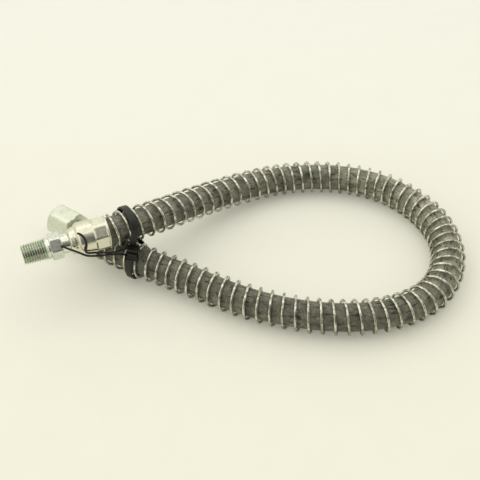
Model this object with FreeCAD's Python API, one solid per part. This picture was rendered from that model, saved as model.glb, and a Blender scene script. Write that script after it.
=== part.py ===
"""Hydraulic hose assembly with a spring guard, a male pipe-thread end and a swivel-nut end.

The hose lies on the floor in a teardrop loop. Its two ends cross at the left, one on the other,
and a cable tie holds them there. Millimetres, +Z up, +X from the crossing to the loop's far end,
origin on the floor under the middle of the whole assembly.
"""
import FreeCAD, Part
import math
import os

os.makedirs("parts", exist_ok=True)
V = FreeCAD.Vector

# Hose layers
BORE_R = 3.95
TUBE_WALL = 1.25
BRAID_WALL = 0.65
COVER_WALL = 1.8
TUBE_R = BORE_R + TUBE_WALL
INNER_BRAID_R = TUBE_R + BRAID_WALL
OUTER_BRAID_R = INNER_BRAID_R + BRAID_WALL
COVER_R = OUTER_BRAID_R + COVER_WALL
COVER_SIDES = 8
LAYER_SIDES = 6
LAYER_CHORD_DEG = 22.0  # most that one straight length of a hidden layer turns from the last

# Spring guard of round wire
GUARD_WIRE_D = 1.7
GUARD_FIT = 0.8  # between the cover and the wire
GUARD_OUTER_R = COVER_R + GUARD_FIT + GUARD_WIRE_D
GUARD_WIRE_SIDES = 3
GUARD_TURNS = 24  # the real guard has about 71, of this wire and radius
GUARD_END_GAP = 0.6
GUARD_FLAT = 0.5  # cut off the wire where the assembly stands on it

# Hose route, from the male end's hose stop to the swivel end's, points chosen by hand
LOW = GUARD_OUTER_R - GUARD_FLAT  # height of the hose's line where it lies on the floor
ROUTE = [
    V(-101, -24, 36), V(-67, -10, 36), V(-40, 19, 23), V(-10, 45, 13), V(24, 60, LOW),
    V(59, 62, LOW), V(91, 52, LOW), V(114, 31, LOW), V(126, 4, LOW), V(123, -26, LOW),
    V(106, -50, LOW), V(75, -62, LOW), V(38, -62, LOW), V(-2, -51, LOW), V(-39, -31, 10.6),
    V(-76, -16, 14), V(-103.5, 4, 12.3),
]
MIDDLE = V(0.6, -0.4, 0)  # of the whole assembly on the floor, moved to the origin at the end
ARC_SHARE = 0.45  # of the shorter run, on each side of a corner, taken by its arc

# Fittings, along each one's axis from the hose's end, outward positive
HOSE_INSERT = 18.0
STEM_STEP = 1.35  # from the hose's bore down to the stem's
STEM_BORE_R = BORE_R - STEM_STEP
BORE_FLATS = 0.952  # of the hose's bore radius, the nearest that its facets come to the axis
TAIL_FIT = 0.1
TAIL_R = BORE_R * BORE_FLATS - TAIL_FIT
TAIL_GROOVE = 0.4
TAIL_GROOVES = 1
TAIL_GROOVE_WIDTH = 2.4
TAIL_LAND = 7.0
STOP_GAP = 0.5
FERRULE_WALL = 1.8
FERRULE_FIT = 0.1
FERRULE_R = COVER_R + FERRULE_FIT + FERRULE_WALL
FERRULE_NOSE = 2.6
NOSE_RIM = 1.4
FERRULE_LIP = 2.8
FERRULE_LENGTH_PAST_HOSE = 5.7
LIP_STEP = 1.0
CRIMP_FLATS = 8
CRIMP_DEPTH = 0.7
CRIMP_START = 2.4
CRIMP_LENGTH = 8.4
CRIMP_RAMP = 0.7

# Male end
MALE_NECK_R = 5.9
MALE_NECK_LENGTH = 4.5
HEX_AF = 14.3
HEX_LENGTH = 6.9
HEX_ROLL = 16.6
THREAD_R = 6.858
THREAD_LENGTH = 15.2
THREAD_RELIEF_DEPTH = 0.658
THREAD_RELIEF = 1.0
THREAD_TIP_CHAMFER = 1.1

# Swivel end
SWIVEL_NECK_R = 5.3
SWIVEL_FIT = 0.06
SEAT_SHOULDER = 1.1
SEAT_HEAD_R = SWIVEL_NECK_R + SEAT_SHOULDER
SEAT_HEAD_LENGTH = 3.2
SEAT_RIM = 0.5
SEAT_MOUTH_R = SEAT_HEAD_R - SEAT_RIM
SEAT_HALF_ANGLE = 37.0
NUT_AF = 19.0
NUT_LENGTH = 18.5
NUT_GAP = 2.3  # from the ferrule's nose to the nut
NUT_BACK_WALL = 4.8
NUT_SEAT_GAP = 0.2
NUT_HEAD_FIT = 0.06
NUT_THREAD_R = SEAT_HEAD_R + NUT_HEAD_FIT
NUT_RELIEF_DEPTH = 0.74
NUT_RELIEF_R = NUT_THREAD_R + NUT_RELIEF_DEPTH
NUT_RELIEF = 5.2
NUT_MOUTH_CHAMFER = 0.8
NUT_FRONT_CHAMFER = 2.3
NUT_BACK_CHAMFER = 0.9
NUT_ROLL = -17.5

# Cable tie round both arms, just inside the crossing
TIE_UPPER_AT = 31.5  # along the upper arm from the hose's end
TIE_LOWER_AT = 44.0  # along the lower arm from its hose's end
TIE_FIT = 0.25
TIE_THICKNESS = 1.3
TIE_WIDTH = 4.8
TIE_HEAD = (6.6, 8.8, 5.2)  # along the strap, across it, off the hoses
TIE_HEAD_DROP = 0.54  # share of the way from the upper band to the lower one

# Thin cord doubled under the tie's head, both ends free, one of them bent up the ferrule
CORD_D = 1.1
CORD_SIDES = 4
CORD_ROUTE = [
    V(-108.7, -34.6, 41.8), V(-105.4, -35.2, 40.4), V(-101.8, -35.5, 38.8), V(-98.3, -35.6, 36.9),
    V(-95, -34.8, 33.5), V(-91.3, -32.9, 31.4), V(-87.1, -30.6, 29.5), V(-82.7, -28.8, 28.2),
    V(-78.1, -25.7, 25.2), V(-73.5, -23.7, 22.9), V(-69.3, -22.6, 22.2), V(-66.7, -22.2, 23.7),
    V(-65.7, -22, 26.5), V(-66.7, -21.6, 29.1), V(-69.4, -21.8, 30.7), V(-73.5, -22.8, 30),
    V(-78.4, -24.6, 28.1), V(-82.7, -27.8, 29.5), V(-86.5, -29.4, 30.8), V(-89.9, -31.3, 32.6),
    V(-92.5, -32.4, 33.6), V(-94.3, -33.4, 34.4), V(-95.3, -33.9, 36), V(-95, -33.6, 37.9),
    V(-94.4, -32.7, 39.6), V(-94.5, -31.8, 41.6), V(-95.1, -30.7, 43.3), V(-96.2, -29.6, 44.7),
    V(-97.8, -28.8, 45.7), V(-99.6, -28.5, 46),
]


def corner(before, at, after):
    """Start, middle and end of the arc that rounds a corner, its radius and its turn."""
    u, w = (at - before).normalize(), (after - at).normalize()
    reach = ARC_SHARE * min((at - before).Length, (after - at).Length)
    half = u.getAngle(w) / 2
    radius = reach / math.tan(half)
    inward = (w - u).normalize()
    centre = at + inward * (radius / math.cos(half))
    return at - u * reach, centre - inward * radius, at + w * reach, radius, 2 * half


def rounded_path(points):
    """Straight runs joined by tangent arcs, and the arcs' radii."""
    edges, radii, last = [], [], points[0]
    for before, at, after in zip(points, points[1:], points[2:]):
        start, middle, end, radius, _ = corner(before, at, after)
        edges += [Part.LineSegment(last, start).toShape(), Part.Arc(start, middle, end).toShape()]
        radii.append(radius)
        last = end
    edges.append(Part.LineSegment(last, points[-1]).toShape())
    return Part.Wire(edges), radii


def chorded_path(points):
    """The same path in straight lengths, as far outside each arc as inside it."""
    corners = [points[0]]
    for before, at, after in zip(points, points[1:], points[2:]):
        start, middle, end, _, turn = corner(before, at, after)
        arc = Part.Arc(start, middle, end).toShape()
        lengths = max(1, math.ceil(math.degrees(turn) / LAYER_CHORD_DEG))
        low, span = arc.FirstParameter, arc.LastParameter - arc.FirstParameter
        outward = (1 / math.cos(turn / lengths / 2) - 1) / 2
        for i in range(lengths):
            on_arc = arc.valueAt(low + span * (i + 0.5) / lengths)
            corners.append(on_arc + (on_arc - arc.Curve.Center) * outward)
        if before is points[0]:
            corners.insert(1, start)
    return Part.makePolygon(corners + [end, points[-1]])


def polygon_across(centre, along, radius, sides):
    """A closed polygon square to a direction, its corners at the radius."""
    circle = Part.Circle(centre, along, radius)
    corners = [circle.value(2 * math.pi * i / sides) for i in range(sides)]
    return Part.makePolygon(corners + corners[:1])


def swept(path, radius, sides, mitred=False):
    """A solid of polygon section along a path."""
    edge = path.OrderedEdges[0]
    start, along = edge.valueAt(edge.FirstParameter), edge.tangentAt(edge.FirstParameter)
    section = polygon_across(start, along, radius, sides)
    return path.makePipeShell([section], True, False, 1 if mitred else 0)


class Centreline:
    """The hose's rounded route, read by length."""

    def __init__(self, path):
        self.edges = path.OrderedEdges
        self.length = path.Length

    def at(self, along):
        """Point, tangent, level side and upright side at a length from the start."""
        for edge in self.edges:
            if along <= edge.Length or edge is self.edges[-1]:
                break
            along -= edge.Length
        place = edge.getParameterByLength(min(along, edge.Length))
        tangent = edge.tangentAt(place).normalize()
        side = V(0, 0, 1).cross(tangent).normalize()
        return edge.valueAt(place), tangent, side, tangent.cross(side)


def arc_edge(start, tangent, end):
    """The arc that leaves start along tangent and reaches end."""
    chord = end - start
    across = (tangent - chord * (tangent.dot(chord) / chord.dot(chord))).normalize()
    rise = chord.Length / 2 * math.tan(tangent.getAngle(chord) / 2)
    return Part.Arc(start, (start + end) * 0.5 + across * rise, end).toShape()


def biarc(start, tangent, end, end_tangent):
    """Two tangent arcs between two points with their tangents."""
    gap = end - start
    spread = 2 * (1 - tangent.dot(end_tangent))
    lead = gap.dot(tangent + end_tangent)
    reach = (math.sqrt(lead * lead + spread * gap.dot(gap)) - lead) / spread
    joint = (start + end + (tangent - end_tangent) * reach) * 0.5
    joint_tangent = (joint - start - tangent * reach).normalize()
    return [arc_edge(start, tangent, joint), arc_edge(joint, joint_tangent, end)]


def coil_path(line, first, last):
    """The guard wire's centreline: half turns as biarcs, with a straight end at each side."""
    pitch = (last - first) / GUARD_TURNS
    radius = GUARD_OUTER_R - GUARD_WIRE_D / 2

    def point(turn):
        centre, _, side, upright = line.at(first + turn * pitch)
        angle = 2 * math.pi * turn
        return centre + (side * math.cos(angle) + upright * math.sin(angle)) * radius

    def tangent(turn):
        step = 0.002
        return (point(turn + step) - point(turn - step)).normalize()

    halves = [i / 2 for i in range(2 * GUARD_TURNS + 1)]
    edges = []
    for a, b in zip(halves, halves[1:]):
        edges += biarc(point(a), tangent(a), point(b), tangent(b))
    head, tail = point(0), point(GUARD_TURNS)
    lead_in = Part.LineSegment(head - tangent(0) * GUARD_WIRE_D, head).toShape()
    lead_out = Part.LineSegment(tail, tail + tangent(GUARD_TURNS) * GUARD_WIRE_D).toShape()
    return Part.Wire([lead_in] + edges + [lead_out])


def least_gap(path, thickness, apart):
    """Least distance of a wound wire's surface to itself, between points over apart of it."""
    points = path.discretize(Distance=2.5)
    step = path.Length / (len(points) - 1)
    skip = math.ceil(apart / step)
    least = min(
        (points[i] - points[j]).Length
        for i in range(len(points))
        for j in range(i + skip, len(points))
    )
    return least - thickness


def spring_guard(line):
    """One unbroken wound wire, cut flat where the assembly stands on it."""
    first = HOSE_INSERT + GUARD_END_GAP + GUARD_WIRE_D / 2
    path = coil_path(line, first, line.length - first)
    wire = swept(path, GUARD_WIRE_D / 2 / math.sin(math.pi / GUARD_WIRE_SIDES), GUARD_WIRE_SIDES)
    turn = 2 * math.pi * (GUARD_OUTER_R - GUARD_WIRE_D / 2)
    print("guard wire length", round(path.Length), "gap to itself",
          round(least_gap(path, GUARD_WIRE_D, turn / 2), 2))
    box = wire.BoundBox
    floor = Part.makeBox(box.XLength + 20, box.YLength + 20, 10, V(box.XMin - 10, box.YMin - 10, -10))
    return wire.cut(floor)


def turned(outline):
    """A solid of revolution about X from (along, radius) points."""
    corners = [V(x, 0, r) for x, r in outline]
    return Part.Face(Part.makePolygon(corners + corners[:1])).revolve(V(), V(1, 0, 0), 360)


def hex_bar(across_flats, start, length, roll, front, back):
    """A hexagonal bar about X with its corners turned down at both ends."""
    corner_r = across_flats / 2 / math.cos(math.radians(30))
    points = []
    for i in range(6):
        angle = math.radians(roll + 60 * i)
        points.append(V(start, corner_r * math.cos(angle), corner_r * math.sin(angle)))
    bar = Part.Face(Part.makePolygon(points + points[:1])).extrude(V(length, 0, 0))
    end = start + length
    envelope = turned([
        (start, 0), (start, corner_r - 1.7 * back), (start + back, corner_r),
        (end - front, corner_r), (end, corner_r - 1.0 * front), (end, 0),
    ])
    return bar.common(envelope)


def tail_outline():
    """The grooved tail in the hose, from its free end to the collar at the hose's stop."""
    start = -HOSE_INSERT + 1.0
    outline = [(start, 0), (start, TAIL_R)]
    for i in range(TAIL_GROOVES):
        low = start + TAIL_LAND + i * (TAIL_GROOVE_WIDTH + TAIL_LAND)
        high = low + TAIL_GROOVE_WIDTH
        bottom = TAIL_R - TAIL_GROOVE
        outline += [(low, TAIL_R), (low, bottom), (high, bottom), (high, TAIL_R)]
    return outline + [(STOP_GAP, TAIL_R)]


def collar_outline(neck_r):
    """Collar, the groove that the ferrule's lip closes into, and the start of the neck."""
    lip_end = FERRULE_LENGTH_PAST_HOSE
    groove = lip_end - FERRULE_LIP
    return [
        (STOP_GAP, neck_r), (groove - FERRULE_FIT, neck_r), (groove - FERRULE_FIT, neck_r - LIP_STEP),
        (lip_end + FERRULE_FIT, neck_r - LIP_STEP), (lip_end + FERRULE_FIT, neck_r),
    ]


def ferrule(neck_r):
    """Crimped shell: a smooth front, a band of die flats and a plain rim at the hose end."""
    back, front = -HOSE_INSERT, FERRULE_LENGTH_PAST_HOSE
    inner = COVER_R + FERRULE_FIT
    lip = front - FERRULE_LIP
    lip_r = neck_r - LIP_STEP + FERRULE_FIT
    shell = turned([
        (back, inner), (back, FERRULE_R), (front - FERRULE_NOSE, FERRULE_R),
        (front, neck_r + NOSE_RIM), (front, lip_r), (lip, lip_r), (lip, inner),
    ])
    low, high = back + CRIMP_START, back + CRIMP_START + CRIMP_LENGTH
    flat_r = FERRULE_R - CRIMP_DEPTH
    section = [
        V(low - CRIMP_RAMP, 0, FERRULE_R + 0.5), V(low, 0, flat_r),
        V(high, 0, flat_r), V(high + CRIMP_RAMP, 0, FERRULE_R + 0.5),
    ]
    width = 2 * FERRULE_R * math.tan(math.pi / CRIMP_FLATS)
    die = Part.Face(Part.makePolygon(section + section[:1])).extrude(V(0, width, 0))
    die.translate(V(0, -width / 2, 0))
    for i in range(CRIMP_FLATS):
        press = die.copy()
        press.rotate(V(), V(1, 0, 0), 360 / CRIMP_FLATS * (i + 0.5))
        shell = shell.cut(press)
    return shell


def male_stem():
    """Barbed tail, collar, neck, wrench hexagon and pipe-thread blank, bored through."""
    hex_start = FERRULE_LENGTH_PAST_HOSE + MALE_NECK_LENGTH
    hex_end = hex_start + HEX_LENGTH
    tip = hex_end + THREAD_RELIEF + THREAD_LENGTH
    relief_r = THREAD_R - THREAD_RELIEF_DEPTH
    body = turned(tail_outline() + collar_outline(MALE_NECK_R) + [
        (hex_end, MALE_NECK_R), (hex_end, relief_r),
        (hex_end + THREAD_RELIEF, relief_r), (hex_end + THREAD_RELIEF, THREAD_R),
        (tip - THREAD_TIP_CHAMFER, THREAD_R), (tip, THREAD_R - THREAD_TIP_CHAMFER), (tip, 0),
    ])
    body = body.fuse(hex_bar(HEX_AF, hex_start, HEX_LENGTH, HEX_ROLL, 0.5, 0.4))
    bore = Part.makeCylinder(STEM_BORE_R, tip + HOSE_INSERT + 10, V(-HOSE_INSERT - 5, 0, 0), V(1, 0, 0))
    return body.cut(bore).removeSplitter()


def swivel_stem():
    """Barbed tail, collar, neck and the head with its coned seat."""
    back = FERRULE_LENGTH_PAST_HOSE + NUT_GAP + NUT_BACK_WALL + NUT_SEAT_GAP
    face = back + SEAT_HEAD_LENGTH
    seat_depth = (SEAT_MOUTH_R - STEM_BORE_R) / math.tan(math.radians(SEAT_HALF_ANGLE))
    body = turned(tail_outline() + collar_outline(SWIVEL_NECK_R) + [
        (back, SWIVEL_NECK_R), (back, SEAT_HEAD_R),
        (face, SEAT_HEAD_R), (face, 0),
    ])
    bore = turned([
        (-HOSE_INSERT, 0), (-HOSE_INSERT, STEM_BORE_R), (face - seat_depth, STEM_BORE_R),
        (face, SEAT_MOUTH_R), (face, 0),
    ])
    return body.cut(bore)


def swivel_nut():
    """Hexagon nut that turns on the stem's neck and pulls on the back of its head."""
    back = FERRULE_LENGTH_PAST_HOSE + NUT_GAP
    front = back + NUT_LENGTH
    wall = back + NUT_BACK_WALL
    hexagon = hex_bar(NUT_AF, back, NUT_LENGTH, NUT_ROLL, NUT_FRONT_CHAMFER, NUT_BACK_CHAMFER)
    hollow = turned([
        (back, 0), (back, SWIVEL_NECK_R + SWIVEL_FIT), (wall, SWIVEL_NECK_R + SWIVEL_FIT),
        (wall, NUT_RELIEF_R), (wall + NUT_RELIEF, NUT_RELIEF_R), (wall + NUT_RELIEF, NUT_THREAD_R),
        (front - NUT_MOUTH_CHAMFER, NUT_THREAD_R), (front, NUT_THREAD_R + NUT_MOUTH_CHAMFER), (front, 0),
    ])
    return hexagon.cut(hollow)


def at_end(shape, end, inward):
    """A fitting drawn along +X from its hose's end, placed on that end of the route."""
    out = (end - inward).normalize()
    side = V(0, 0, 1).cross(out).normalize()
    shape.Placement = FreeCAD.Placement(end, FreeCAD.Rotation(out, side, out.cross(side), "XYZ"))
    return shape


def band(line, along, other_along):
    """Half of the tie's strap, round the side of one arm that looks away from the other."""
    centre, tangent, _, _ = line.at(along)
    toward = line.at(other_along)[0] - centre
    toward = (toward - tangent * toward.dot(tangent)).normalize()
    inner = GUARD_OUTER_R + TIE_FIT
    near = toward.cross(tangent)
    near = near if near.y < 0 else near * -1
    section = [
        centre + near * inner - tangent * (TIE_WIDTH / 2),
        centre + near * (inner + TIE_THICKNESS) - tangent * (TIE_WIDTH / 2),
        centre + near * (inner + TIE_THICKNESS) + tangent * (TIE_WIDTH / 2),
        centre + near * inner + tangent * (TIE_WIDTH / 2),
    ]
    turn = toward.cross(near)
    face = Part.Face(Part.makePolygon(section + section[:1]))
    piece = face.revolve(centre, turn, 180)
    far = face.copy()
    far.rotate(centre, turn, 180)
    return piece, face, far


def nearest_order(loop, others):
    """The corners of one face in the order that pairs them with another's."""
    points = [v.Point for v in others.OuterWire.OrderedVertexes]
    turns = [points[i:] + points[:i] for i in range(4)]
    turns += [list(reversed(t)) for t in turns]
    return min(turns, key=lambda t: sum((a - b).Length for a, b in zip(loop, t)))


def bridge(first, second):
    """The straight stretch of strap between two of its bands' ends."""
    loop = [v.Point for v in first.OuterWire.OrderedVertexes]
    other = nearest_order(loop, second)
    sides = [first, second]
    for i in range(4):
        a, b, c, d = loop[i - 1], loop[i], other[i], other[i - 1]
        sides += [Part.Face(Part.makePolygon(w)) for w in ([a, b, c, a], [a, c, d, a])]
    run = Part.makeSolid(Part.makeShell(sides))
    return run if run.Volume > 0 else run.reversed()


def cable_tie(line):
    """Strap over the upper arm and under the lower one, and its head on the near side."""
    upper_at, lower_at = TIE_UPPER_AT, line.length - TIE_LOWER_AT
    over, over_near, over_far = band(line, upper_at, lower_at)
    under, under_near, under_far = band(line, lower_at, upper_at)
    near_run = bridge(over_near, under_near)
    strap = over.fuse([under, near_run, bridge(over_far, under_far)])
    top, bottom = over_near.CenterOfMass, under_near.CenterOfMass
    down = (bottom - top).normalize()
    _, upper_way, _, _ = line.at(upper_at)
    _, lower_way, _, _ = line.at(lower_at)
    both = upper_way - lower_way
    across = (both - down * both.dot(down)).normalize()
    off = down.cross(across).normalize()
    off = off if off.y < 0 else off * -1
    long, wide, deep = TIE_HEAD
    head = Part.makeBox(long, wide, deep, V(-long / 2, -wide / 2, -TIE_THICKNESS / 2))
    head = head.makeChamfer(0.8, [e for e in head.Edges if e.BoundBox.ZMin > 0])
    middle = top + (bottom - top) * TIE_HEAD_DROP
    head.Placement = FreeCAD.Placement(middle, FreeCAD.Rotation(down, across, off, "XZY"))
    return strap.fuse(head)


def report(name, path, radii, section_area, solid):
    print(name, "length", round(path.Length, 1), "arc radii", [round(r) for r in radii],
          "volume over section x length", round(solid.Volume / section_area / path.Length, 3))


def polygon_area(radius, sides):
    return sides / 2 * radius * radius * math.sin(2 * math.pi / sides)


def build():
    hose, hose_radii = rounded_path(ROUTE)
    line = Centreline(hose)
    outside = swept(hose, COVER_R, COVER_SIDES)
    report("hose", hose, hose_radii, polygon_area(COVER_R, COVER_SIDES), outside)
    inside = chorded_path(ROUTE)
    to_corner = math.sqrt(math.pi / polygon_area(1, LAYER_SIDES))
    radii = [OUTER_BRAID_R, INNER_BRAID_R, TUBE_R, BORE_R]
    cores = [swept(inside, r * to_corner, LAYER_SIDES, mitred=True) for r in radii]

    male, swivel = (ROUTE[0], ROUTE[1]), (ROUTE[-1], ROUTE[-2])
    cord, cord_radii = rounded_path(CORD_ROUTE)
    tie_cord = swept(cord, CORD_D / 2, CORD_SIDES)
    report("cord", cord, cord_radii, polygon_area(CORD_D / 2, CORD_SIDES), tie_cord)
    return {
        "inner_tube": cores[2].cut(cores[3]),
        "inner_braid": cores[1].cut(cores[2]),
        "outer_braid": cores[0].cut(cores[1]),
        "outer_cover": outside.cut(cores[0]),
        "spring_guard": spring_guard(line),
        "male_stem": at_end(male_stem(), *male),
        "male_ferrule": at_end(ferrule(MALE_NECK_R), *male),
        "swivel_stem": at_end(swivel_stem(), *swivel),
        "swivel_ferrule": at_end(ferrule(SWIVEL_NECK_R), *swivel),
        "swivel_nut": at_end(swivel_nut(), *swivel),
        "cable_tie": cable_tie(line),
        "tie_cord": tie_cord,
    }


for node, shape in build().items():
    shape.translate(MIDDLE * -1)
    box = shape.BoundBox
    print(node, "solids", len(shape.Solids), "valid", shape.isValid(), "volume", round(shape.Volume, 1),
          "x", round(box.XMin, 1), round(box.XMax, 1), "y", round(box.YMin, 1), round(box.YMax, 1),
          "z", round(box.ZMin, 2), round(box.ZMax, 2))
    shape.exportStep("parts/" + node + ".step")
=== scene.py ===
import math

import bmesh
import bpy
import numpy as np
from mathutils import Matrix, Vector


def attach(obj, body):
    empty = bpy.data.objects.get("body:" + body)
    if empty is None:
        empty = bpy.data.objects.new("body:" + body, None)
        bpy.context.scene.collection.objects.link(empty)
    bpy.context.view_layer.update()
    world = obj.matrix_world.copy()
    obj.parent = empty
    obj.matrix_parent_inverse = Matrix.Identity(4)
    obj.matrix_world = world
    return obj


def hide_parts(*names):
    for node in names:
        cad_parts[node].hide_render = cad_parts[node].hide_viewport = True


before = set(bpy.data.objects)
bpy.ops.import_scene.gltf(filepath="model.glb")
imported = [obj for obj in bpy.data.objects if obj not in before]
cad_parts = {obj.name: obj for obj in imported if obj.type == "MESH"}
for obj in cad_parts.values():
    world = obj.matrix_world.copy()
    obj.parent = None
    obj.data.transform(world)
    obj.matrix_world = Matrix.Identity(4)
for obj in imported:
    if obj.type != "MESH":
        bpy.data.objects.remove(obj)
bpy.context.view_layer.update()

# Camera, at the photograph's viewing angle

# The layout's own middle, which is the object's origin
MIDDLE = Vector((0.6, -0.4, 0))


def m(*v):
    """A point of the hose's own layout in millimetres, as metres about the object's origin."""
    return (Vector(v) - MIDDLE) * 0.001


cam_data = bpy.data.cameras.new("view")
cam_data.lens = 59.46
cam_data.sensor_width = 36
cam_data.clip_start = 0.01
cam_data.clip_end = 20
cam = bpy.data.objects.new("view", cam_data)
cam.location = m(-5.5, -349.7, 373.0)
cam.rotation_euler = (math.radians(44), 0, 0)
bpy.context.collection.objects.link(cam)
bpy.context.scene.camera = cam

# Routes, in the part's own millimetres, and the hose's outside radius in metres

COVER_R = 0.0083
ROUTE = [
    (-101, -24, 36), (-67, -10, 36), (-40, 19, 23), (-10, 45, 13), (24, 60, 10.3),
    (59, 62, 10.3), (91, 52, 10.3), (114, 31, 10.3), (125.6, 4, 10.3), (123, -26, 10.3),
    (106, -50, 10.3), (75, -62, 10.3), (38, -62, 10.3), (-2, -51, 10.3), (-39, -31, 10.6),
    (-76, -16, 14), (-103.5, 4, 12.3),
]
CORD_ROUTE = [
    (-108.7, -34.6, 41.8), (-105.4, -35.2, 40.4), (-101.8, -35.5, 38.8), (-98.3, -35.6, 36.9),
    (-95, -34.8, 33.5), (-91.3, -32.9, 31.4), (-87.1, -30.6, 29.5), (-82.7, -28.8, 28.2),
    (-78.1, -25.7, 25.2), (-73.5, -23.7, 22.9), (-69.3, -22.6, 22.2), (-66.7, -22.2, 23.7),
    (-65.7, -22, 26.2), (-66.7, -21.8, 28.4), (-69.4, -22.2, 29.4), (-73.5, -23.4, 28.4),
    (-78.4, -25.4, 27.4), (-82.7, -28.1, 28.9), (-86.5, -29.4, 30.8), (-89.9, -31.3, 32.6),
    (-92.5, -32.4, 33.6), (-94.3, -33.4, 34.4), (-95.3, -33.9, 36), (-95, -33.6, 37.9),
    (-94.4, -32.7, 39.6), (-94.5, -31.8, 41.6), (-95.1, -30.7, 43.3), (-96.2, -29.6, 44.7),
    (-97.8, -28.8, 45.7), (-99.6, -28.5, 46),
]


def spline_curve(name, route):
    """A smooth curve with the route's points as its control points."""
    data = bpy.data.curves.new(name, "CURVE")
    data.dimensions = "3D"
    data.resolution_u = 24
    spline = data.splines.new("NURBS")
    spline.points.add(len(route) - 1)
    for point, place in zip(spline.points, route):
        point.co = (*m(*place), 1)
    spline.order_u = 3
    spline.use_endpoint_u = True
    obj = bpy.data.objects.new(name, data)
    bpy.context.collection.objects.link(obj)
    return obj


def points_of(curve):
    """The points of the curve's own smooth line."""
    mesh = bpy.data.meshes.new_from_object(curve)
    line = np.array([v.co[:] for v in mesh.vertices])
    bpy.data.meshes.remove(mesh)
    return line


def unit(v):
    """A vector, or each row of vectors, brought to length one."""
    return v / np.linalg.norm(v, axis=-1, keepdims=True)


class Line:
    """A route by its length: place, direction, level side and upright side at any distance."""

    def __init__(self, points):
        self.points = points
        steps = np.linalg.norm(np.diff(points, axis=0), axis=1)
        self.along = np.concatenate([[0], np.cumsum(steps)])
        self.length = self.along[-1]
        self.way = unit(np.gradient(points, self.along, axis=0))

    def at(self, s):
        s = np.atleast_1d(s)
        place, way = (np.stack([np.interp(s, self.along, rows[:, k]) for k in range(3)], 1)
                      for rows in (self.points, self.way))
        way = unit(way)
        side = unit(np.cross([0, 0, 1], way))
        return place, way, side, np.cross(way, side)


# Mesh making

def circle(sides):
    """Angles evenly round a circle."""
    return np.arange(sides) * 2 * math.pi / sides


def grid_mesh(name, rings, close_rings=False, uv=None):
    """A mesh through rings of points. Its ends are joined to each other or capped."""
    rings = np.asarray(rings)
    count, sides = rings.shape[:2]
    last = count if close_rings else count - 1
    faces = []
    for i in range(last):
        a, b = i * sides, ((i + 1) % count) * sides
        for j in range(sides):
            k = (j + 1) % sides
            faces.append((a + j, a + k, b + k, b + j))
    if not close_rings:
        faces.append(tuple(range(sides))[::-1])
        faces.append(tuple((count - 1) * sides + j for j in range(sides)))
    mesh = bpy.data.meshes.new(name)
    mesh.from_pydata(rings.reshape(-1, 3).tolist(), [], faces)
    if uv is not None:
        corners = [(uv[min(i + di, count - 1)], (j + dj) / sides)
                   for i in range(last) for j in range(sides)
                   for di, dj in ((0, 0), (0, 1), (1, 1), (1, 0))]
        layer = mesh.uv_layers.new(name="UVMap")
        layer.data.foreach_set("uv", np.array(corners, dtype=np.float32).ravel())
    mesh.update()
    obj = bpy.data.objects.new(name, mesh)
    bpy.context.collection.objects.link(obj)
    return obj


def outward(obj):
    """Faces turned to the outside."""
    bm = bmesh.new()
    bm.from_mesh(obj.data)
    bmesh.ops.recalc_face_normals(bm, faces=bm.faces)
    bm.to_mesh(obj.data)
    bm.free()


def smooth(obj, degrees):
    """Smooth shading, with edges kept sharp where faces turn by more than degrees."""
    obj.data.shade_smooth()
    obj.data.set_sharp_from_angle(angle=math.radians(degrees))


def wall_tube(name, line, inner, outer, sides=48, step=0.0022):
    """A hollow hose layer along the line, its UV by metres along and by turns round."""
    s = np.linspace(0, line.length, int(line.length / step))
    place, _, side, up = line.at(s)
    angle = circle(sides)
    around = (side[:, None] * np.cos(angle)[None, :, None]
              + up[:, None] * np.sin(angle)[None, :, None])
    out = place[:, None] + around * outer
    back = (place[:, None] + around * inner)[::-1]
    obj = grid_mesh(name, np.concatenate([out, back]), close_rings=True,
                    uv=np.concatenate([s, s[::-1]]))
    outward(obj)
    smooth(obj, 40)
    return obj


def wire_tube(name, points, radius, sides):
    """A round wire along points, its frame carried along without twist."""
    way = unit(np.gradient(points, axis=0))
    normal = unit(np.cross(way[0], [0, 0, 1]))
    angle = circle(sides)[:, None]
    rings = []
    for p, t in zip(points, way):
        normal = unit(normal - t * np.dot(normal, t))
        other = np.cross(t, normal)
        rings.append(p + radius * (np.cos(angle) * normal + np.sin(angle) * other))
    obj = grid_mesh(name, rings)
    outward(obj)
    smooth(obj, 50)
    return obj


class Axis:
    """An end fitting's axis, from its hose's end outward, with turn angle from its level side."""

    def __init__(self, end, inner):
        self.end = np.array(m(*end))
        self.out = unit(self.end - np.array(m(*inner)))
        self.side = unit(np.cross([0, 0, 1], self.out))
        self.up = np.cross(self.out, self.side)

    def ring(self, s, radii, angles):
        """A ring of points at s mm along, with radii in mm at angles."""
        across = (np.outer(radii * np.cos(angles), self.side)
                  + np.outer(radii * np.sin(angles), self.up))
        return self.end + (s * self.out + across) * 0.001


def turned(name, axis, rows, sides, sharp_deg):
    """A closed solid through rows (s, radius or function of angle), all the way round and back."""
    angles = circle(sides)
    rings = [axis.ring(s, r(angles) if callable(r) else np.full(sides, float(r)), angles)
             for s, r in rows]
    obj = grid_mesh(name, rings, close_rings=True)
    outward(obj)
    smooth(obj, sharp_deg)
    return obj


def corner_of(across_flats):
    """A hexagon's radius at its corners."""
    return across_flats / 2 / math.cos(math.pi / 6)


def hexagon(across_flats, roll_deg, most, round_mm=0.25):
    """Radius of a hexagon by angle, its corners a little rounded and turned down to a circle."""
    roll = math.radians(roll_deg)
    most = min(most, corner_of(across_flats) - round_mm)

    def radius(angles):
        turn = np.mod(angles - roll + math.pi / 6, math.pi / 3) - math.pi / 6
        from_flat = math.pi / 6 - np.abs(turn)
        return np.minimum(across_flats / 2 / np.cos(from_flat), most)
    return radius


def rounding(s, r, radius, degrees, steps):
    """Rows of a rounded edge that starts level at (s, r) and turns down."""
    turns = math.radians(degrees) * np.arange(steps + 1) / steps
    return [(s + radius * math.sin(a), r - radius * (1 - math.cos(a))) for a in turns]


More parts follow.
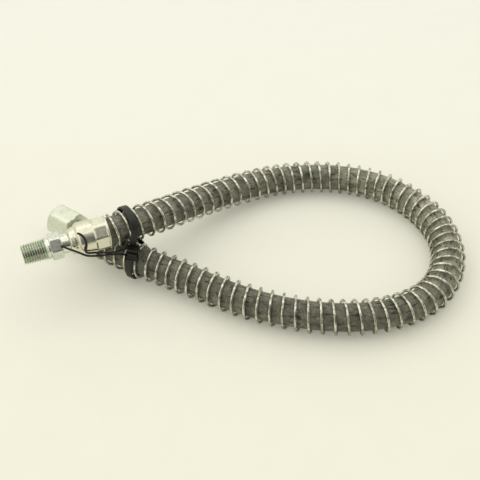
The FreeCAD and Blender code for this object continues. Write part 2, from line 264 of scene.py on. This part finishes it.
# Fittings, in millimetres along their axes from the hose's ends

A = Axis(ROUTE[0], ROUTE[1])
B = Axis(ROUTE[-1], ROUTE[-2])
HOSE_INSERT = 18.0
STEM_BORE = 2.6
TAIL_R = 3.66
GROOVES_AT, GROOVE_LONG, GROOVE_DEEP = (3.6, 9.6), 2.4, 0.4
COLLAR_ON, COLLAR_OFF, LIP_DEEP = 0.5, 2.8, 1
NOSE = 5.7
FERRULE_R = 10.2
MALE_NECK, SWIVEL_NECK = 5.9, 5.3
PITCH = 25.4 / 18
PIPE_R = 6.858
PIPE_START, PIPE_LONG, PIPE_MOUTH = 18.1, 15.2, 1.1
WRENCH_FLATS, WRENCH_ROLL = 14.3, 16.6
NUT_FLATS, NUT_ROLL = 19.0, -2.3
NUT_THREAD_R, NUT_RELIEF_R, NUT_BORE_R = 6.46, 7.2, 5.36


def tail(neck):
    """Grooved tail, collar and the groove that the ferrule's lip closes into."""
    start = 1 - HOSE_INSERT
    rows = [(start, STEM_BORE), (start, TAIL_R)]
    for groove in GROOVES_AT:
        low, high = start + groove, start + groove + GROOVE_LONG
        floor_r = TAIL_R - GROOVE_DEEP
        rows += [(low, TAIL_R), (low, floor_r), (high, floor_r), (high, TAIL_R)]
    return rows + [
        (COLLAR_ON, TAIL_R), (COLLAR_ON, neck), (COLLAR_OFF, neck), (COLLAR_OFF, neck - LIP_DEEP),
        (NOSE + 0.1, neck - LIP_DEEP), (NOSE + 0.1, neck - 0.15), (NOSE + 0.25, neck)]


def thread_cut(s, angles, crest_flat, flank):
    """How deep a thread is cut at s, from nought on its crest to one in its root.

    crest_flat and flank are their shares of half a pitch.
    """
    phase = np.mod(s / PITCH - angles / (2 * math.pi), 1)
    return np.clip((np.abs(phase - 0.5) * 2 - crest_flat) / flank, 0, 1)


def crest_at(s):
    """Crest radius of the pipe thread, which tapers 1 in 16 on its diameter."""
    return PIPE_R - (s - PIPE_START) / 32


def pipe_thread():
    """Rows of a taper pipe thread: sixty degree flanks, flat crests, a runout and a lead."""
    deepest = 0.8 * PITCH
    runout = 1.6 * PITCH
    lead_slope = 0.95
    end = PIPE_START + PIPE_LONG
    rows = []
    for s in np.arange(PIPE_START, end + 1e-6, PITCH / 18):
        depth = deepest * min((s - PIPE_START) / runout, 1)
        lead = crest_at(s) - np.clip(s - (end - PIPE_MOUTH), 0, PIPE_MOUTH) * lead_slope

        def radius(angles, s=s, depth=depth, lead=lead):
            cut = thread_cut(s, angles, crest_flat=0.06, flank=0.80)
            return np.minimum(crest_at(s) - depth * cut, lead)
        rows.append((s, radius))
    return rows


def male_stem():
    """Tail, neck, wrench hexagon and pipe thread, with the thread's roots marked for painted shade.
    """
    hex_on, hex_off = 10.2, 17.1
    corner = corner_of(WRENCH_FLATS)

    def h(most):
        return hexagon(WRENCH_FLATS, WRENCH_ROLL, most)
    rows = tail(MALE_NECK) + [
        (hex_on, MALE_NECK), (hex_on, corner - 1.0), (hex_on + 0.12, h(corner - 0.75)),
        (hex_on + 0.5, h(corner - 0.1)), (hex_on + 0.7, h(corner)),
        (hex_off - 0.8, h(corner)), (hex_off - 0.6, h(corner - 0.1)),
        (hex_off - 0.12, h(corner - 0.75)), (hex_off, corner - 1.0),
        (hex_off, 6.6), (hex_off + 0.15, 6.35), (PIPE_START - 0.1, 6.3),
    ]
    rows += pipe_thread()
    end = PIPE_START + PIPE_LONG
    rows += [(end, STEM_BORE + 0.45), (end - 0.3, STEM_BORE + 0.05), (end - 0.7, STEM_BORE)]
    obj = turned("male_stem_shape", A, rows, sides=120, sharp_deg=32)
    # Depth below the thread's crest, which the plate's material turns into painted shade in the
    # roots.
    roots = obj.data.attributes.new("crevice", "FLOAT", "POINT")
    for vert, root in zip(obj.data.vertices, roots.data):
        from_end = (np.array(vert.co) - A.end) * 1000
        along = from_end @ A.out
        height = np.linalg.norm(from_end - along * A.out)
        on_thread = along > PIPE_START - 0.15 and height > 4
        root.value = min(max(crest_at(along) - height, 0.0), 1.0) if on_thread else 0.0
    return obj


def ferrule(name, axis, neck, turn=22.5):
    """Crimped shell: stepped nose, smooth front, and a band pressed by dies at the hose end."""
    inner = COVER_R * 1000 + 0.1
    low, high = -HOSE_INSERT + 1.6, -HOSE_INSERT + 8.4
    dies, pressed_in, ridge_in = 8, 0.72, 0.18
    step = 2 * math.pi / dies
    roll = math.radians(turn)

    def pressed(amount):
        def radius(angles):
            off = np.mod(angles - roll + step / 2, step) - step / 2
            r = np.minimum((FERRULE_R - pressed_in) / np.cos(off), FERRULE_R - ridge_in)
            return FERRULE_R + (r - FERRULE_R) * amount
        return radius
    blend = np.linspace(0, 1, 7)
    rows = [(-HOSE_INSERT, inner + 0.4), (-HOSE_INSERT, FERRULE_R - 0.4),
            (-HOSE_INSERT + 0.12, FERRULE_R - 0.15), (-HOSE_INSERT + 0.45, FERRULE_R)]
    rows += [(low - 0.8 + 0.8 * t, pressed(t * t * (3 - 2 * t))) for t in blend]
    rows += [(low + (high - low) * k / 8, pressed(1)) for k in range(1, 8)]
    rows += [(high + 0.9 * t, pressed(1 - t)) for t in blend]
    rows += [(high + 1.0, FERRULE_R), (-1.1, FERRULE_R)]
    rows += rounding(-1.0, FERRULE_R, 2.4, 62, 8)
    collar = neck + 2.25
    rows += [(1.55, collar + 0.22), (1.95, collar)]
    rows += rounding(NOSE - 1.5, collar - 0.35, 1.4, 70, 4)
    lip = neck - 0.9
    rows += [(NOSE, neck + 0.45), (NOSE, lip + 0.15), (NOSE - 0.15, lip), (NOSE - 2.8, lip),
             (NOSE - 2.8, inner), (-HOSE_INSERT + 0.5, inner)]
    return turned(name, axis, rows, sides=128, sharp_deg=40)


def swivel_stem():
    """Tail, neck, and a head with its 37 degree seat."""
    head, face, head_r, mouth_r = 13.0, 16.2, 6.4, 5.9
    seat = (mouth_r - STEM_BORE) / math.tan(math.radians(37))
    rows = tail(SWIVEL_NECK) + [
        (head, SWIVEL_NECK), (head, head_r - 0.2), (head + 0.2, head_r), (face - 0.3, head_r),
        (face, head_r - 0.3), (face, mouth_r), (face - seat, STEM_BORE), (0, STEM_BORE),
    ]
    return turned("swivel_stem_shape", B, rows, sides=96, sharp_deg=32)


def swivel_nut():
    """Hexagon nut with a rounded front, its thread, relief and rear bore."""
    back, front = 8.0, 26.5
    thread_end, relief_end, thread_deep = 18.0, 12.8, 0.70
    corner = corner_of(NUT_FLATS)

    def h(most):
        return hexagon(NUT_FLATS, NUT_ROLL, most, 0.3)
    rows = [(back, NUT_BORE_R), (back, corner - 2.0), (back + 0.1, h(corner - 1.6)),
            (back + 0.4, h(corner - 0.9)), (back + 0.9, h(corner)), (front - 2.6, h(corner))]
    rows += [(front - 2.6 + 2.45 * k / 8, h(corner - 2.35 * k / 8)) for k in range(1, 9)]
    rows += [(front, corner - 2.55), (front, NUT_THREAD_R + 0.8)]
    for s in np.arange(front - 0.02, thread_end, -PITCH / 14):
        def radius(angles, s=s):
            mouth = NUT_THREAD_R + max(0, s - (front - 0.8))
            cut = thread_cut(s, angles, crest_flat=0.12, flank=0.76)
            return np.maximum(NUT_THREAD_R + thread_deep * cut, mouth)
        rows.append((s, radius))
    rows += [(thread_end, NUT_RELIEF_R), (relief_end, NUT_RELIEF_R), (relief_end, NUT_BORE_R)]
    return turned("swivel_nut_shape", B, rows, sides=96, sharp_deg=32)


# Materials, their patterns' scales per metre: 1000 is about a millimetre

def node_material(name):
    """A new material, with its nodes, its links and its shader."""
    mat = bpy.data.materials.new(name)
    mat.use_nodes = True
    nodes = mat.node_tree.nodes
    return mat, nodes, mat.node_tree.links, nodes["Principled BSDF"]


def add(nodes, kind, **values):
    """A new node with values on its sockets."""
    node = nodes.new(kind)
    for key, value in values.items():
        node.inputs[key].default_value = value
    return node


def coords(nodes):
    """Coordinates that stay with the piece."""
    return nodes.new("ShaderNodeTexCoord").outputs["Object"]


def hose_uv(nodes):
    """Metres along the hose, and turns round it."""
    uv = nodes.new("ShaderNodeUVMap")
    uv.uv_map = "UVMap"
    return uv.outputs["UV"]


def mapped(nodes, links, where, scale, turn=0.0):
    """Coordinates scaled along each axis and turned."""
    node = add(nodes, "ShaderNodeMapping", Scale=scale, Rotation=(0, 0, turn))
    links.new(where, node.inputs["Vector"])
    return node.outputs["Vector"]


def noise(nodes, links, where, scale, detail, rough=0.5):
    """A cloudy pattern from nought to one."""
    node = add(nodes, "ShaderNodeTexNoise", Scale=scale, Detail=detail, Roughness=rough)
    links.new(where, node.inputs["Vector"])
    return node.outputs["Fac"]


def grey(value):
    """A colour with no hue."""
    return (value, value, value)


def ramp(nodes, links, source, stops):
    """Colours for a pattern's values, from stops (place, colour)."""
    node = nodes.new("ShaderNodeValToRGB")
    elements = node.color_ramp.elements
    while len(elements) < len(stops):
        elements.new(0.5)
    for element, (place, colour) in zip(elements, stops):
        element.position = place
        element.color = (*colour, 1)
    links.new(source, node.inputs["Fac"])
    return node.outputs["Color"]


def maths(nodes, links, operation, first, second):
    """Two patterns put together."""
    node = nodes.new("ShaderNodeMath")
    node.operation = operation
    links.new(first, node.inputs[0])
    links.new(second, node.inputs[1])
    return node.outputs[0]


def scaled(nodes, links, source, low, high):
    """A nought-to-one pattern brought between two values."""
    node = nodes.new("ShaderNodeMapRange")
    node.inputs["To Min"].default_value = low
    node.inputs["To Max"].default_value = high
    links.new(source, node.inputs["Value"])
    return node.outputs["Result"]


def times(nodes, links, first, second, factor=1.0):
    """One colour multiplied by another."""
    mix = nodes.new("ShaderNodeMix")
    mix.data_type = "RGBA"
    mix.blend_type = "MULTIPLY"
    mix.inputs["Factor"].default_value = factor
    links.new(first, mix.inputs["A"])
    links.new(second, mix.inputs["B"])
    return mix.outputs["Result"]


def relief(nodes, links, normal, height, strength, depth):
    """Relief from a pattern, into a normal socket. Returns the socket for one beneath it."""
    bump = add(nodes, "ShaderNodeBump", Strength=strength, Distance=depth)
    links.new(height, bump.inputs["Height"])
    links.new(bump.outputs["Normal"], normal)
    return bump.inputs["Normal"]


def zinc(name, tints, shine, grain, depth, dents):
    """Zinc plate: patchy clear chromate colour, pits, shallow dents, and painted shade darkening
    the thread's roots.
    """
    mat, nodes, links, shader = node_material(name)
    where = coords(nodes)
    cast = noise(nodes, links, where, 210.0, 3.0, 0.6)
    colour = ramp(nodes, links, cast, [(0.30 + 0.13 * k, tint) for k, tint in enumerate(tints)])
    grime = noise(nodes, links, where, grain, 6.0, 0.7)
    pits = ramp(nodes, links, grime, [(0.30, (0.50, 0.50, 0.46)), (0.45, grey(1))])
    # Painted shade: the thread's roots are darkened by how deep they lie, where shade falls in
    # them.
    root_shade = nodes.new("ShaderNodeAttribute")
    root_shade.attribute_name = "crevice"
    roots = ramp(nodes, links, root_shade.outputs["Fac"], [(0.40, grey(1)), (1.0, (0.60, 0.64, 0.58))])
    pitted = times(nodes, links, colour, pits, 0.6)
    links.new(times(nodes, links, pitted, roots), shader.inputs["Base Color"])
    shader.inputs["Metallic"].default_value = 1.0
    rough = scaled(nodes, links, grime, shine - 0.08, shine + 0.14)
    links.new(rough, shader.inputs["Roughness"])
    beneath = relief(nodes, links, shader.inputs["Normal"], grime, 0.3, depth)
    relief(nodes, links, beneath, cast, 0.5, dents)
    return mat


def galvanised():
    """Spring wire with a bright zinc coat, dulled and stained in patches."""
    mat, nodes, links, shader = node_material("galvanised_wire")
    where = coords(nodes)
    patch = noise(nodes, links, where, 330.0, 5.0, 0.7)
    colour = ramp(nodes, links, patch, [
        (0.34, (0.19, 0.19, 0.15)), (0.48, (0.42, 0.42, 0.35)), (0.60, (0.76, 0.75, 0.66))])
    links.new(colour, shader.inputs["Base Color"])
    shader.inputs["Metallic"].default_value = 1.0
    links.new(scaled(nodes, links, patch, 0.08, 0.30), shader.inputs["Roughness"])
    fine = noise(nodes, links, where, 2600.0, 3.0)
    relief(nodes, links, shader.inputs["Normal"], fine, 0.3, 0.00004)
    return mat


# How much paler the cover is painted, by metres along the hose: a painted sheen, paler along the
# far arm and most at the loop's end
PAINTED_SHEEN = [(0.02, 1.0), (0.08, 1.38), (0.18, 1.42), (0.25, 2.1), (0.30, 2.1), (0.36, 1.05),
          (0.50, 0.92)]


def rubber():
    """Dusty grey-black cover: cloth-wrapped grain, cloudy dust, short scuffs along the hose, and a
    painted sheen along it.
    """
    mat, nodes, links, shader = node_material("hose_cover")
    where = coords(nodes)
    uv = hose_uv(nodes)
    scuff = noise(nodes, links, mapped(nodes, links, uv, (130.0, 28.0, 1.0)), 1.0, 3.0, 0.55)
    dust = noise(nodes, links, where, 150.0, 6.0, 0.7)
    weave = noise(nodes, links, where, 1100.0, 3.0, 0.6)
    colour = ramp(nodes, links, dust, [
        (0.31, (0.036, 0.036, 0.026)), (0.46, (0.122, 0.122, 0.089)),
        (0.63, (0.225, 0.223, 0.172))])
    marks = ramp(nodes, links, scuff, [(0.36, (0.16, 0.16, 0.14)), (0.44, grey(1))])
    along = nodes.new("ShaderNodeSeparateXYZ")
    links.new(uv, along.inputs[0])
    # Painted sheen: the cover is made paler along the far arm and most at the loop's end.
    painted_sheen = ramp(nodes, links, along.outputs["X"], [(x, grey(pale)) for x, pale in PAINTED_SHEEN])
    grain = ramp(nodes, links, weave, [(0.32, (0.50, 0.50, 0.48)), (0.55, grey(1.08))])
    for pattern in (marks, painted_sheen, grain):
        colour = times(nodes, links, colour, pattern)
    links.new(colour, shader.inputs["Base Color"])
    shader.inputs["Roughness"].default_value = 0.5
    shader.inputs["Specular IOR Level"].default_value = 0.42
    shader.inputs["Sheen Weight"].default_value = 0.15
    height = maths(nodes, links, "ADD", weave, marks)
    relief(nodes, links, shader.inputs["Normal"], height, 0.6, 0.00016)
    return mat


def dark(name, colour, rough, grain, bump_mm, sheen=0.0):
    """Black plastic, rubber or fibre with a fine grain."""
    mat, nodes, links, shader = node_material(name)
    fine = noise(nodes, links, coords(nodes), grain, 4.0, 0.6)
    low, high = (tuple(c * by for c in colour) for by in (0.6, 1.8))
    tone = ramp(nodes, links, fine, [(0.3, low), (0.5, colour), (0.75, high)])
    links.new(tone, shader.inputs["Base Color"])
    shader.inputs["Roughness"].default_value = rough
    shader.inputs["Sheen Weight"].default_value = sheen
    relief(nodes, links, shader.inputs["Normal"], fine, 0.5, bump_mm * 0.001)
    return mat


def braid():
    """Bright drawn wire in a crossed braid."""
    mat, nodes, links, shader = node_material("braid_wire")
    uv = hose_uv(nodes)
    waves = []
    for turn in (0.95, -0.95):
        wave = add(nodes, "ShaderNodeTexWave", Scale=3.0, Distortion=0.0)
        links.new(mapped(nodes, links, uv, (400.0, 14.0, 1.0), turn), wave.inputs["Vector"])
        waves.append(wave.outputs["Fac"])
    top = maths(nodes, links, "MAXIMUM", *waves)
    colour = ramp(nodes, links, top, [(0.2, (0.12, 0.11, 0.09)), (0.8, (0.62, 0.58, 0.48))])
    links.new(colour, shader.inputs["Base Color"])
    shader.inputs["Metallic"].default_value = 1.0
    shader.inputs["Roughness"].default_value = 0.35
    return mat


def give(obj, mat):
    """The piece's one material."""
    obj.data.materials.clear()
    obj.data.materials.append(mat)


# Hose

BODY = "hose_assembly"
LAYERS = {"inner_tube": (0.00395, 0.0052), "inner_braid": (0.0052, 0.00585),
          "outer_braid": (0.00585, 0.0065), "outer_cover": (0.0065, COVER_R)}
hose_curve = spline_curve("hose_line", ROUTE)
LINE = Line(points_of(hose_curve))
bpy.data.objects.remove(hose_curve)
hose = {}
for node, (inner, outer) in LAYERS.items():
    hose[node] = wall_tube(node + "_shape", LINE, inner, outer)
    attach(hose[node], BODY)
    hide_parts(node)
give(hose["inner_tube"], dark("lining_rubber", (0.03, 0.03, 0.03), 0.5, 900.0, 0.05))
give(hose["inner_braid"], braid())
give(hose["outer_braid"], hose["inner_braid"].data.materials[0])
give(hose["outer_cover"], rubber())

# Guard

WIRE_R = 0.00085
GUARD_R = 0.0108
GUARD_END = 0.001 * (HOSE_INSERT + 0.6) + WIRE_R
# Millimetres along the hose, and the turns wound by there: the coils stand a little unevenly
WOUND = [
    (19.4, 0.17), (57, 5.47), (67, 6.54), (128, 13.89), (140, 15.56), (228, 28.46), (275, 35.23),
    (340, 44.84), (390, 51.92), (436, 58.29), (490, 65.52), (516, 69.27), (547.1, 73.74),
]


def guard():
    """The wound wire: right-handed, open-wound, flat where it stands on the floor."""
    places, turns = np.array(WOUND).T
    s = np.linspace(GUARD_END, LINE.length - GUARD_END, 3200)
    reach = 20
    steady = np.hanning(2 * reach + 1)
    turn = np.pad(np.interp(s * 1000, places, turns), reach, "reflect", reflect_type="odd")
    a = 2 * math.pi * np.convolve(turn, steady / steady.sum(), "valid")[:, None]
    place, _, side, up = LINE.at(s)
    coil = place + (GUARD_R - WIRE_R) * (side * np.cos(a) + up * np.sin(a))
    obj = wire_tube("spring_guard_shape", coil, WIRE_R, sides=12)
    for vert in obj.data.vertices:
        vert.co.z = max(vert.co.z, 0.0)
    return obj


spring = guard()
give(spring, galvanised())
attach(spring, BODY)
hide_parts("spring_guard")

# End fittings

plate_male = zinc(
    "zinc_male", [(0.60, 0.68, 0.62), (0.74, 0.77, 0.69), (0.80, 0.81, 0.73), (0.62, 0.72, 0.74)],
    shine=0.17, grain=800.0, depth=0.00005, dents=0.0003)
plate_nut = zinc(
    "zinc_nut", [(0.55, 0.61, 0.52), (0.64, 0.68, 0.56), (0.71, 0.73, 0.62), (0.60, 0.65, 0.60)],
    shine=0.34, grain=1300.0, depth=0.00010, dents=0.0003)
plate_ferrule = zinc(
    "zinc_ferrule",
    [(0.65, 0.65, 0.53), (0.71, 0.70, 0.58), (0.75, 0.73, 0.61), (0.68, 0.70, 0.57)],
    shine=0.19, grain=700.0, depth=0.00004, dents=0.00032)
fittings = [
    (male_stem(), "male_stem", plate_male, BODY),
    (ferrule("male_ferrule_shape", A, MALE_NECK, 4.5), "male_ferrule", plate_ferrule, BODY),
    (swivel_stem(), "swivel_stem", plate_nut, BODY),
    (ferrule("swivel_ferrule_shape", B, SWIVEL_NECK), "swivel_ferrule", plate_nut, BODY),
    (swivel_nut(), "swivel_nut", plate_nut, "swivel_nut"),
]
for piece, node, mat, body in fittings:
    give(piece, mat)
    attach(piece, body)
    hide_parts(node)

# Cable tie and cord

TIE_FIT = 0.00025
TIE_THICK = 0.0012
TIE_WIDE = 0.0044
TIE_AT = (0.0308, LINE.length - 0.0424)
HEAD_LONG, HEAD_WIDE, HEAD_DEEP = 0.0068, 0.0070, 0.0050
HEAD_DROP = 0.54
HEAD_ASIDE = -0.0006
HEAD_TOP = HEAD_DEEP - TIE_THICK / 2
# Size down, across and outward, height of the middle over the strap, and rounding of the edges
HEAD_BLOCKS = [
    ((HEAD_LONG, HEAD_WIDE, HEAD_DEEP), HEAD_DEEP / 2 - TIE_THICK / 2, 0.0007),
    ((0.0026, 0.0058, 0.0007), HEAD_TOP + 0.0002, 0.0002),
    ((0.0012, 0.0045, 0.0016), HEAD_TOP + 0.0003, 0.00012),
]


def near_side(v):
    """The vector, or its opposite, whichever points to the near side."""
    return v if v[1] < 0 else -v


def half_loop(at, other):
    """Strap frames (place, across, outward) round one arm's far side, near end to far end."""
    centre, way = (v[0] for v in LINE.at(at)[:2])
    toward = LINE.at(other)[0][0] - centre
    toward = unit(toward - way * toward.dot(way))
    near = near_side(np.cross(toward, way))
    radius = GUARD_R + TIE_FIT + TIE_THICK / 2
    frames = []
    for turn in np.linspace(0, math.pi, 25):
        out = near * math.cos(turn) - toward * math.sin(turn)
        frames.append((centre + out * radius, way, out))
    return frames


def strap_section():
    """The strap's section, across and outward: rounded edges and a slightly raised middle."""
    w, t, edge, crown = TIE_WIDE / 2, TIE_THICK / 2, 0.0003, 0.00008
    half = [(w - edge, -t), (w, -t + edge), (w, t - edge), (w - edge, t), (w * 0.4, t + crown)]
    return half + [(-x, y) for x, y in reversed(half)]


def cable_tie():
    """One strap round both arms, worn edges rounded, and its square head on the near side."""
    over = half_loop(*TIE_AT)
    under = [(place, -across, out) for place, across, out in half_loop(*TIE_AT[::-1])][::-1]
    loop = []
    for first, second in ((over, under), (under, over)):
        loop += first
        for k in np.arange(1, 8) / 8:
            place, across, out = (p + (q - p) * k for p, q in zip(first[-1], second[0]))
            loop.append((place, unit(across), unit(out)))
    section = strap_section()
    rings = [[place + across * w + out * d for w, d in section] for place, across, out in loop]
    strap = grid_mesh("cable_tie_shape", rings, close_rings=True)
    outward(strap)

    top, bottom = over[0][0], under[-1][0]
    down = unit(bottom - top)
    across = LINE.at(TIE_AT[0])[1][0] - LINE.at(TIE_AT[1])[1][0]
    across = unit(across - down * across.dot(down))
    off = near_side(np.cross(down, across))
    middle = top + (bottom - top) * HEAD_DROP - across * HEAD_ASIDE
    bm = bmesh.new()
    bm.from_mesh(strap.data)
    for size, lift, bevel in HEAD_BLOCKS:
        made = bmesh.ops.create_cube(bm, size=1)["verts"]
        for vert in made:
            x, y, z = (c * n for c, n in zip(vert.co, size))
            vert.co = middle + down * x + across * y + off * (z + lift)
        edges = list({e for v in made for e in v.link_edges})
        bmesh.ops.bevel(bm, geom=edges, offset=bevel, segments=3, affect="EDGES", profile=0.6)
    bm.to_mesh(strap.data)
    bm.free()
    smooth(strap, 40)
    return strap


tie = cable_tie()
give(tie, dark("tie_plastic", (0.0055, 0.0054, 0.004), 0.40, 700.0, 0.05))
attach(tie, BODY)
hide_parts("cable_tie")

CORD_WIDE = 0.0012
cord = spline_curve("cord_line", CORD_ROUTE)
cord_line = points_of(cord)
cord.name = "tie_cord_shape"
cord.data.bevel_depth = CORD_WIDE / 2
cord.data.bevel_resolution = 4
cord.data.use_fill_caps = True
give(cord, dark("cord_fibre", (0.007, 0.007, 0.006), 0.75, 2400.0, 0.12, sheen=0.04))
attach(cord, BODY)
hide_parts("tie_cord")

# Floor and light

FLOOR_FRONT = (0.882, 0.874, 0.768)
FLOOR_BACK = (0.884, 0.884, 0.862)
FLOOR_GLOW = (0.905, 0.890, 0.745, 1)
GLOW_SHARE = 0.22
TENT = (1, 0.98, 0.885)
TENT_FOOT = (1, 0.97, 0.82)
TENT_SEEN = (0.93, 0.92, 0.84, 1)
DARK_SIDE = Vector((0.42, -0.79, 0.44)).normalized()


def for_camera(nodes, links, lit, seen, output, share=1.0):
    """A share of another shader that only the camera sees."""
    part = add(nodes, "ShaderNodeMath")
    part.operation = "MULTIPLY"
    links.new(nodes.new("ShaderNodeLightPath").outputs["Is Camera Ray"], part.inputs[0])
    part.inputs[1].default_value = share
    pick = nodes.new("ShaderNodeMixShader")
    links.new(part.outputs[0], pick.inputs["Fac"])
    links.new(lit.outputs[0], pick.inputs[1])
    links.new(seen.outputs[0], pick.inputs[2])
    links.new(pick.outputs["Shader"], nodes[output].inputs["Surface"])


def floor_material():
    """Warm white paper with a barely visible tooth, its shadows lifted a little for the camera."""
    mat, nodes, links, shader = node_material("floor")
    where = coords(nodes)
    tooth = noise(nodes, links, where, 40.0, 2.0)
    grain = ramp(nodes, links, tooth, [(0.3, grey(0.985)), (0.7, grey(1))])
    apart = nodes.new("ShaderNodeSeparateXYZ")
    links.new(where, apart.inputs[0])
    back = nodes.new("ShaderNodeMapRange")
    back.inputs["From Min"].default_value = -0.2
    back.inputs["From Max"].default_value = 0.4
    links.new(apart.outputs["Y"], back.inputs["Value"])
    colour = ramp(nodes, links, back.outputs["Result"], [(0.0, FLOOR_FRONT), (1.0, FLOOR_BACK)])
    links.new(times(nodes, links, colour, grain), shader.inputs["Base Color"])
    shader.inputs["Roughness"].default_value = 0.9
    shader.inputs["Specular IOR Level"].default_value = 0.1
    glow = add(nodes, "ShaderNodeEmission", Color=FLOOR_GLOW, Strength=1.0)
    for_camera(nodes, links, shader, glow, "Material Output", GLOW_SHARE)
    return mat


bpy.ops.mesh.primitive_plane_add(size=8, location=(0, 0, 0))
floor = bpy.context.active_object
floor.name = "floor"
give(floor, floor_material())


def lamp(name, place, target, size, power, colour):
    """A rectangular lamp that faces its target."""
    data = bpy.data.lights.new(name, "AREA")
    data.shape = "RECTANGLE"
    data.size, data.size_y = size
    data.energy = power
    data.color = colour
    obj = bpy.data.objects.new(name, data)
    obj.location = place
    aim = Vector(target) - Vector(place)
    obj.rotation_euler = aim.to_track_quat("-Z", "Y").to_euler()
    bpy.context.collection.objects.link(obj)


lamp("overhead", (-0.2, 0.25, 1.3), (-0.2, 0.25, 0), (1.9, 1.5), 7.0, (1, 0.99, 0.905))
lamp("strip", (-0.2, -0.32, 1.25), (0, 0, 0), (0.5, 0.12), 0.2, (1, 0.99, 0.92))


def light_tent():
    """A white tent all round, dimmer at its foot and top, open on a dark room by the camera."""
    world = bpy.data.worlds.new("tent")
    bpy.context.scene.world = world
    world.use_nodes = True
    nodes, links = world.node_tree.nodes, world.node_tree.links
    where = nodes.new("ShaderNodeTexCoord").outputs["Generated"]
    facing = nodes.new("ShaderNodeVectorMath")
    facing.operation = "DOT_PRODUCT"
    facing.inputs[1].default_value = DARK_SIDE
    links.new(where, facing.inputs[0])
    room = ramp(nodes, links, facing.outputs["Value"], [(near, grey(bright)) for near, bright in (
        (0.53, 1), (0.69, 0.84), (0.81, 0.55), (0.91, 0.28), (0.98, 0.15))])
    height = nodes.new("ShaderNodeSeparateXYZ")
    links.new(where, height.inputs[0])
    tent = ramp(nodes, links, height.outputs["Z"], [
        (z, tuple(bright * c for c in tint)) for z, bright, tint in (
            (0.0, 0.86, TENT_FOOT), (0.45, 1.14, TENT), (0.80, 1.14, TENT), (0.90, 0.52, TENT),
            (1.0, 0.42, TENT))])
    lit = nodes["Background"]
    links.new(times(nodes, links, tent, room), lit.inputs["Color"])
    seen = add(nodes, "ShaderNodeBackground", Color=TENT_SEEN, Strength=1.0)
    for_camera(nodes, links, lit, seen, "World Output")


light_tent()
bpy.context.scene.view_settings.view_transform = "Standard"
